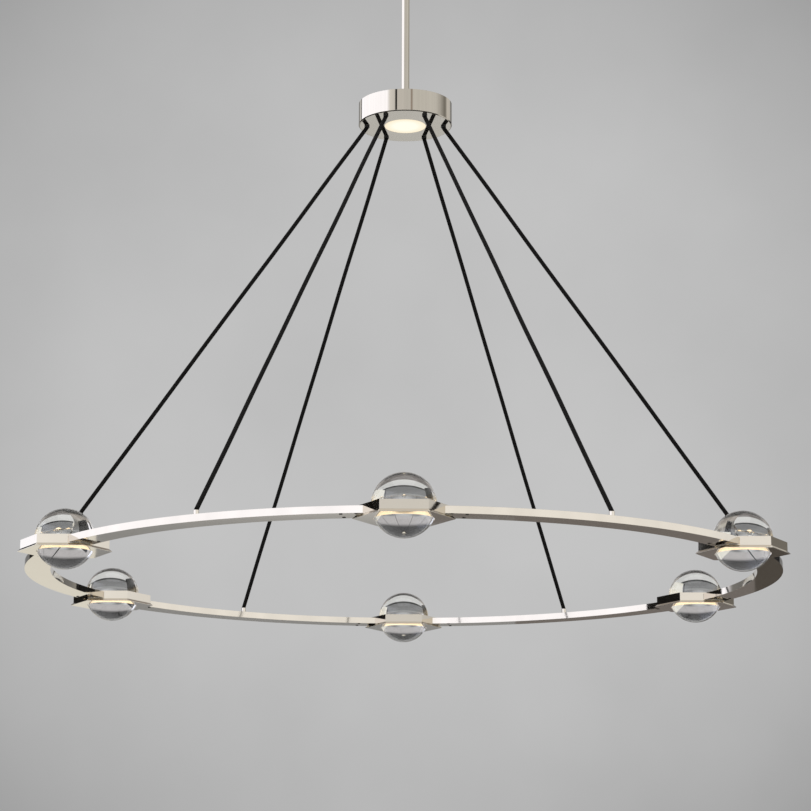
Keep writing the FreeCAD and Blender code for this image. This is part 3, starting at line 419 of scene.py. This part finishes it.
# optical crystal: clear right through, polished all over, with the faintest haze
haze = {"scale": 30.0, "detail": 2.0, "span": (0.4, 0.8), "rough": (0.0, 0.006)}
finishes["opticalCrystal"], tree, shader, place = startMaterial("opticalCrystal")
cloud = noise(tree, place.outputs["Object"], haze["scale"], haze["detail"])
feed(tree, shader, {
    "Base Color": fromHex("#FBFCFC"),
    "Roughness": remap(tree, cloud, haze["span"], haze["rough"]),
    "Transmission Weight": 1.0,
    "IOR": 1.517,
})

# the CAD pieces that show as they are
dressing = {
    "polishedNickel": ["swivel_yoke", "swivel_pin"],
    "darkSteel": ["ring_screws"],
    "zincSteel": [
        "ceiling_crossbar", "threaded_nipple", "nipple_locknuts", "hub_frame", "hub_base_screws",
        "rod_locknut", "cord_gland_nuts", "ring_joiners", "ferrule_nuts",
    ],
    "cableJacket": ["rod_cable"],
    "wireJacket": ["ring_wires"],
    "driverCase": ["led_driver"],
    "turnedAluminium": ["lamp_heat_sink"],
    "lampBoard": ["lamp_board"],
    "opalAcrylic": ["lamp_diffuser"],
    "cordGland": ["cord_glands"],
    "silicone": ["seat_rings"],
    "warmLedStrip": ["led_rings"],
}
for key, names in dressing.items():
    for name in names:
        for slot in nodes[name].material_slots:
            slot.material = finishes[key]
print("finishes on every piece")


# polished metal pieces: the round in mm that buffing leaves on each edge

easing = {
    "hub_shell": 0.25, "hub_base_plate": 0.2, "downrod": 0.15, "canopy": 0.3, "canopy_screws": 0.2,
    "swivel_cap": 0.25, "swivel_cup": 0.25, "rod_knuckle": 0.2, "cord_ferrules": 0.3,
}
for k in range(1, stationCount + 1):
    easing.update({f"ring_arc_{k}": 0.35, f"collar_{k}": 0.3, f"bezel_{k}": 0.2})
ceilingPieces = ("canopy", "canopy_screws", "swivel_cap", "swivel_cup")
edgeSizes = {
    "weld": 0.000002,
    "flat": math.radians(0.3),      # faces closer than this to one plane are joined
    "sharp": math.radians(28),      # edges sharper than this are eased
    "segments": 2,
    "smooth": math.radians(25),
}


def easeEdges(node, pieceName, width):
    piece = nodes[node].copy()
    piece.data = nodes[node].data.copy()
    for key in list(piece.keys()):
        del piece[key]
    piece.name = pieceName
    piece.parent = None
    piece.matrix_world = Matrix.Identity(4)
    bpy.context.scene.collection.objects.link(piece)
    deselectAll()
    piece.select_set(True)
    bpy.context.view_layer.objects.active = piece
    bpy.ops.mesh.customdata_custom_splitnormals_clear()
    bpy.ops.object.mode_set(mode="EDIT")
    bpy.ops.mesh.select_all(action="SELECT")
    bpy.ops.mesh.remove_doubles(threshold=edgeSizes["weld"])
    bpy.ops.mesh.dissolve_limited(angle_limit=edgeSizes["flat"])
    bpy.ops.object.mode_set(mode="OBJECT")
    bevel = piece.modifiers.new("easedEdge", "BEVEL")
    bevel.width = width / 1000
    bevel.segments = edgeSizes["segments"]
    bevel.limit_method = "ANGLE"
    bevel.angle_limit = edgeSizes["sharp"]
    bevel.use_clamp_overlap = True
    bevel.harden_normals = False
    bpy.ops.object.modifier_apply(modifier=bevel.name)
    bpy.ops.object.shade_smooth_by_angle(angle=edgeSizes["smooth"])
    weigh = piece.modifiers.new("flatFaces", "WEIGHTED_NORMAL")
    weigh.keep_sharp = True
    bpy.ops.object.modifier_apply(modifier=weigh.name)
    return piece


for node, width in easing.items():
    isPlate = node == "hub_base_plate"
    piece = easeEdges(node, "polished_" + node, width)
    piece.data.materials.clear()
    piece.data.materials.append(finishes["mirrorNickel" if isPlate else "polishedNickel"])
    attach(piece, "ceiling_mount" if node in ceilingPieces else "pendant")
    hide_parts(node)
print("polished metal eased")


# crystal balls: a half circle spun round the vertical, then copied to each collar

ballSizes = {
    "radius": 0.054,
    "height": -1.320,
    "firstAngle": -90.0,    # degrees; the first ball is the one nearest the camera
    "turns": 128,           # faces round each ball
    "arcSteps": 80,         # faces from pole to pole
    "weld": 0.00001,
}

deselectAll()
bpy.ops.mesh.primitive_circle_add(
    vertices=ballSizes["arcSteps"] * 2, radius=ballSizes["radius"],
    location=(0, 0, 0), rotation=(math.radians(90), 0, 0),
)
master = bpy.context.object
bpy.ops.object.transform_apply(location=True, rotation=True, scale=True)
bpy.ops.object.mode_set(mode="EDIT")
bpy.ops.mesh.select_all(action="SELECT")
bpy.ops.mesh.bisect(plane_co=(0, 0, 0), plane_no=(1, 0, 0), clear_inner=True)
bpy.ops.mesh.select_all(action="SELECT")
bpy.ops.mesh.spin(
    steps=ballSizes["turns"], angle=math.radians(360), center=(0, 0, 0), axis=(0, 0, 1),
)
bpy.ops.mesh.select_all(action="SELECT")
bpy.ops.mesh.remove_doubles(threshold=ballSizes["weld"])
bpy.ops.mesh.normals_make_consistent(inside=False)
bpy.ops.object.mode_set(mode="OBJECT")
bpy.ops.object.shade_smooth()
for k in range(stationCount):
    angle = stationAngle(ballSizes["firstAngle"], k)
    seat = (ringRadius * math.cos(angle), ringRadius * math.sin(angle), ballSizes["height"])
    ball = putInScene(f"polished_crystal_{k + 1}", master.data.copy())
    ball.data.transform(Matrix.Translation(seat))
    ball.data.materials.append(finishes["opticalCrystal"])
    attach(ball, f"ball_{k + 1}")
    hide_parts(f"crystal_ball_{k + 1}")
bpy.data.objects.remove(master)
print("crystal balls polished")


# studio floor, with a painted pool of light: paler under the lamp

floorSizes = {
    "height": -2.75,
    "width": 160.0,
    "subdivisions": 8,
    "paintedPoolEdge": (6.79, 7.84),    # metres from the lamp's axis
    "roughness": 0.7,
}

deselectAll()
bpy.ops.mesh.primitive_grid_add(
    x_subdivisions=floorSizes["subdivisions"], y_subdivisions=floorSizes["subdivisions"],
    size=floorSizes["width"], location=(0, 0, floorSizes["height"]),
)
floor = bpy.context.object
floor.name = "studioFloor"
bpy.ops.object.transform_apply(location=True, rotation=True, scale=True)
floorPaint, tree, shader, place = startMaterial("paleStudioFloor")
beyondPaintedPool = fade(tree, axisDistance(tree, place), floorSizes["paintedPoolEdge"])
feed(tree, shader, {
    # painted light: the floor's colour is paler inside the pool and greyer beyond it
    "Base Color": blend(tree, beyondPaintedPool, "#E2E1DE", "#A6A6A5"),
    "Roughness": floorSizes["roughness"],
})
floor.data.materials.append(floorPaint)

# backdrop and the room round the set, by the direction looked in
worldSizes = {
    "backdropAim": (0.0, 0.976, 0.22),
    "paintedPool": (0.945, 1.0),           # cosine of the angle from that aim
    "mottleScale": 9.0,
    "mottleDetail": 4.0,
    "mottleSpan": (0.3, 0.7),
    "mottleTones": (0.95, 1.05),
    # heights and depths below are parts of a unit vector
    "highWallsFrom": (0.235, 0.285),
    "backdropFrom": (0.75, 0.9),
    "highBandFrom": (0.385, 0.42),
    "highBandDepth": 0.3,
    "overheadFrom": (0.55, 0.66),
    "lightLevel": 0.75,
}
worldTones = {
    "backdropMiddle": "#C0C0C0",
    "backdropEdge": "#7C7C7C",
    "highBand": "#B5B1B0",          # lit top edge of the backdrop, above the picture
    "overhead": "#3C3B3B",
}

world = bpy.data.worlds.new("studio")
bpy.context.scene.world = world
world.use_nodes = True
tree = world.node_tree
tree.nodes.clear()
direction = addNode(tree, "ShaderNodeTexCoord").outputs["Generated"]
split = addNode(tree, "ShaderNodeSeparateXYZ", {"Vector": direction})
rightward, depth, skyward = [split.outputs[axis] for axis in ("X", "Y", "Z")]
aim = {0: direction, 1: worldSizes["backdropAim"]}
ahead = addNode(tree, "ShaderNodeVectorMath", aim, operation="DOT_PRODUCT").outputs["Value"]
paintedPool = fade(tree, ahead, worldSizes["paintedPool"])
mottle = noise(tree, direction, worldSizes["mottleScale"], worldSizes["mottleDetail"])
mottled = remap(tree, mottle, worldSizes["mottleSpan"], worldSizes["mottleTones"])
# painted light: the backdrop is painted paler in a pool round its middle and darker towards its
# edges
backdrop = blend(tree, paintedPool, worldTones["backdropEdge"], worldTones["backdropMiddle"])
# compass bearing from the camera's side: a white wall on the left, duller ones elsewhere
bearing = maths(tree, "ARCTAN2", rightward, maths(tree, "MULTIPLY", depth, -1.0))
compass = remap(tree, bearing, (-math.pi, math.pi))


def wallBand(stops):
    spread = []
    for degrees, code, brightness in stops:
        tone = [c * brightness for c in fromHex(code)[:3]] + [1.0]
        spread.append(((degrees + 180) / 360, tone))
    return ramp(tree, compass, spread)


# bearing in degrees (right is positive), tone and brightness
lowWalls = wallBand([
    (-180, "#8A8A8A", 1.0), (-145, "#8A8A8A", 1.0), (-138, "#EFF2FF", 1.65),
    (-13, "#EFF2FF", 1.65), (-9.5, "#FFFFFF", 1.12), (-2, "#F1F1F1", 1.0),
    (3, "#F1F1F1", 1.0), (7, "#FFFFFF", 1.1), (100, "#FFFFFF", 1.1),
    (118, "#FFFFFF", 0.95), (126, "#6E6B66", 1.0), (140, "#ABA8A2", 1.0), (155, "#7E7E7E", 1.0),
])
highWalls = wallBand([
    (-180, "#8A8A8A", 1.0), (-150, "#E6E6E6", 1.0), (-142, "#E6E6E6", 1.0),
    (-140.5, "#141312", 1.0), (-137, "#141312", 1.0), (-135.5, "#EFF2FF", 1.65),
    (-46, "#EFF2FF", 1.65), (-38, "#F3F3F3", 1.0), (-28, "#E8E8E8", 1.0),
    (-25.5, "#DFDFDF", 1.0), (-24.8, "#0A0A0A", 1.0), (-20.5, "#0A0A0A", 1.0),
    (-19.6, "#DAD9D8", 1.0), (12.5, "#D6D6D5", 1.0), (14.0, "#A69C95", 1.0),
    (17.0, "#A69C95", 1.0), (18.5, "#D8D8D6", 1.0), (80, "#D8D8D6", 1.0),
    (98, "#B9B8B5", 1.0), (112, "#86847F", 1.0), (118, "#86847F", 1.0), (126, "#D2D0CC", 1.0),
    (146, "#D2D0CC", 1.0), (149, "#3A3836", 1.0), (153, "#C8C8C8", 1.0),
])
walls = blend(tree, fade(tree, skyward, worldSizes["highWallsFrom"]), lowWalls, highWalls)
room = blend(tree, fade(tree, depth, worldSizes["backdropFrom"]), walls, backdrop)
# polished surfaces see the room; the camera and the glass see the plain backdrop
ray = addNode(tree, "ShaderNodeLightPath")
around = blend(tree, ray.outputs["Is Glossy Ray"], backdrop, room)
behindLamp = maths(tree, "GREATER_THAN", depth, worldSizes["highBandDepth"])
inBand = maths(tree, "MULTIPLY", fade(tree, skyward, worldSizes["highBandFrom"]), behindLamp)
banded = blend(tree, inBand, around, worldTones["highBand"])
whole = blend(tree, fade(tree, skyward, worldSizes["overheadFrom"]), banded, worldTones["overhead"])
toned = addNode(tree, "ShaderNodeVectorMath", {0: whole, "Scale": mottled}, operation="SCALE")
seen = addNode(tree, "ShaderNodeBackground", {"Color": toned.outputs[0], "Strength": 1.0})
light = {"Color": fromHex("#FFFFFF"), "Strength": worldSizes["lightLevel"]}
lit = addNode(tree, "ShaderNodeBackground", light)
lookRay = ray.outputs["Is Camera Ray"]
for kind in ("Is Glossy Ray", "Is Transmission Ray"):
    lookRay = maths(tree, "MAXIMUM", lookRay, ray.outputs[kind])
choice = {0: lookRay, 1: lit.outputs[0], 2: seen.outputs[0]}
choose = addNode(tree, "ShaderNodeMixShader", choice)
addNode(tree, "ShaderNodeOutputWorld", {"Surface": choose.outputs[0]})

softBoxes = {
    "keyBox": {
        "place": (-4.6, -3.2, 0.4), "aim": (0, 0, -1.2), "width": 4.0, "height": 3.6, "power": 60,
    },
    "fillBox": {
        "place": (5.2, -3.4, 0.2), "aim": (0, 0, -1.2), "width": 1.4, "height": 3.2, "power": 20,
    },
    "topBox": {
        "place": (0, -1.2, 3.2), "aim": (0, -1.2, -1.2), "width": 4.5, "height": 4.5, "power": 60,
    },
}
for name, box in softBoxes.items():
    lampData = bpy.data.lights.new(name, "AREA")
    lampData.shape = "RECTANGLE"
    lampData.size, lampData.size_y = box["width"], box["height"]
    lampData.energy = box["power"]
    lamp = putInScene(name, lampData)
    spot = Vector(box["place"])
    turn = (Vector(box["aim"]) - spot).to_track_quat("-Z", "Y").to_matrix().to_4x4()
    lamp.matrix_world = Matrix.Translation(spot) @ turn
    lamp.visible_camera = False
    lamp.visible_transmission = False
    lamp.visible_glossy = name == "topBox"

# cards beside the set, which polished metal and glass pick up; the camera doesn't see them
cardPaints = {
    "blackCard": {"Base Color": fromHex("#0C0B0A"), "Roughness": 0.9},
    "greyCard": {"Base Color": fromHex("#858585"), "Roughness": 0.9},
}
litCards = {
    "whiteCard": ("#FBF7EA", 0.8),
    "brownCard": ("#6F6965", 1.0),
    "umberCard": ("#464039", 1.0),
}
for name, (code, strength) in litCards.items():
    cardPaints[name] = {
        "Base Color": fromHex("#000000"),
        "Emission Color": fromHex(code),
        "Emission Strength": strength,
    }
cardMaterials = {}
for name, paint in cardPaints.items():
    cardMaterials[name], tree, shader, place = startMaterial(name)
    feed(tree, shader, paint)

# whether glass and whether metal sees the card
glassOnly, metalOnly, both = (True, False), (False, True), (True, True)
right, left, front, upward = (1, 0, 0), (-1, 0, 0), (0, -1, 0), (0, 0, 1)
# name: paint, middle, width, height, the way it faces, what sees it
cards = {
    "leftCard": ("blackCard", (-2.6, 2.45, -1.32), 2.25, 2.86, right, both),
    "leftSlat": ("blackCard", (-2.6, 0.8, -0.9), 0.4, 1.6, right, metalOnly),
    "rightCard": ("blackCard", (3.05, 5.65, -0.9), 0.35, 3.7, left, glassOnly),
    "rightSheet": ("whiteCard", (3.2, 3.05, -0.9), 4.7, 3.7, left, glassOnly),
    "rightDoor": ("blackCard", (3.1, 4.3, -0.9), 2.0, 3.7, left, metalOnly),
    "nearRightCard": ("brownCard", (0.26, 5.0, -2.56), 0.38, 0.5, front, metalOnly),
    "lowRightCard": ("brownCard", (0.935, 5.0, -2.3), 0.97, 1.0, front, metalOnly),
    "farRightCard": ("umberCard", (2.32, 5.0, -2.2), 1.8, 1.2, front, metalOnly),
    "lowLeftCard": ("whiteCard", (-2.0, 5.0, -2.15), 1.5, 1.1, front, metalOnly),
    "underCard": ("blackCard", (-0.8, 0.2, -2.6), 6.5, 3.4, upward, metalOnly),
    "underGlass": ("brownCard", (0, 0.7, -2.7), 9.0, 2.4, upward, glassOnly),
    "farStrip": ("blackCard", (0, 4.6, -2.72), 9.0, 0.9, upward, glassOnly),
    "farGround": ("greyCard", (0, 12.8, -2.73), 30.0, 16.0, upward, glassOnly),
}
for name, (paint, middle, width, height, face, seenBy) in cards.items():
    deselectAll()
    bpy.ops.mesh.primitive_plane_add(size=1, location=(0, 0, 0))
    sheet = bpy.context.object
    sheet.name = name
    turned = Vector(face).to_track_quat("Z", "Y").to_matrix().to_4x4()
    stretched = Matrix.Diagonal((width, height, 1, 1))
    sheet.data.transform(Matrix.Translation(middle) @ turned @ stretched)
    sheet.data.materials.append(cardMaterials[paint])
    sheet.visible_camera = sheet.visible_diffuse = sheet.visible_shadow = False
    sheet.visible_transmission, sheet.visible_glossy = seenBy
print("studio set")

bpy.context.scene.view_settings.view_transform = "Standard"
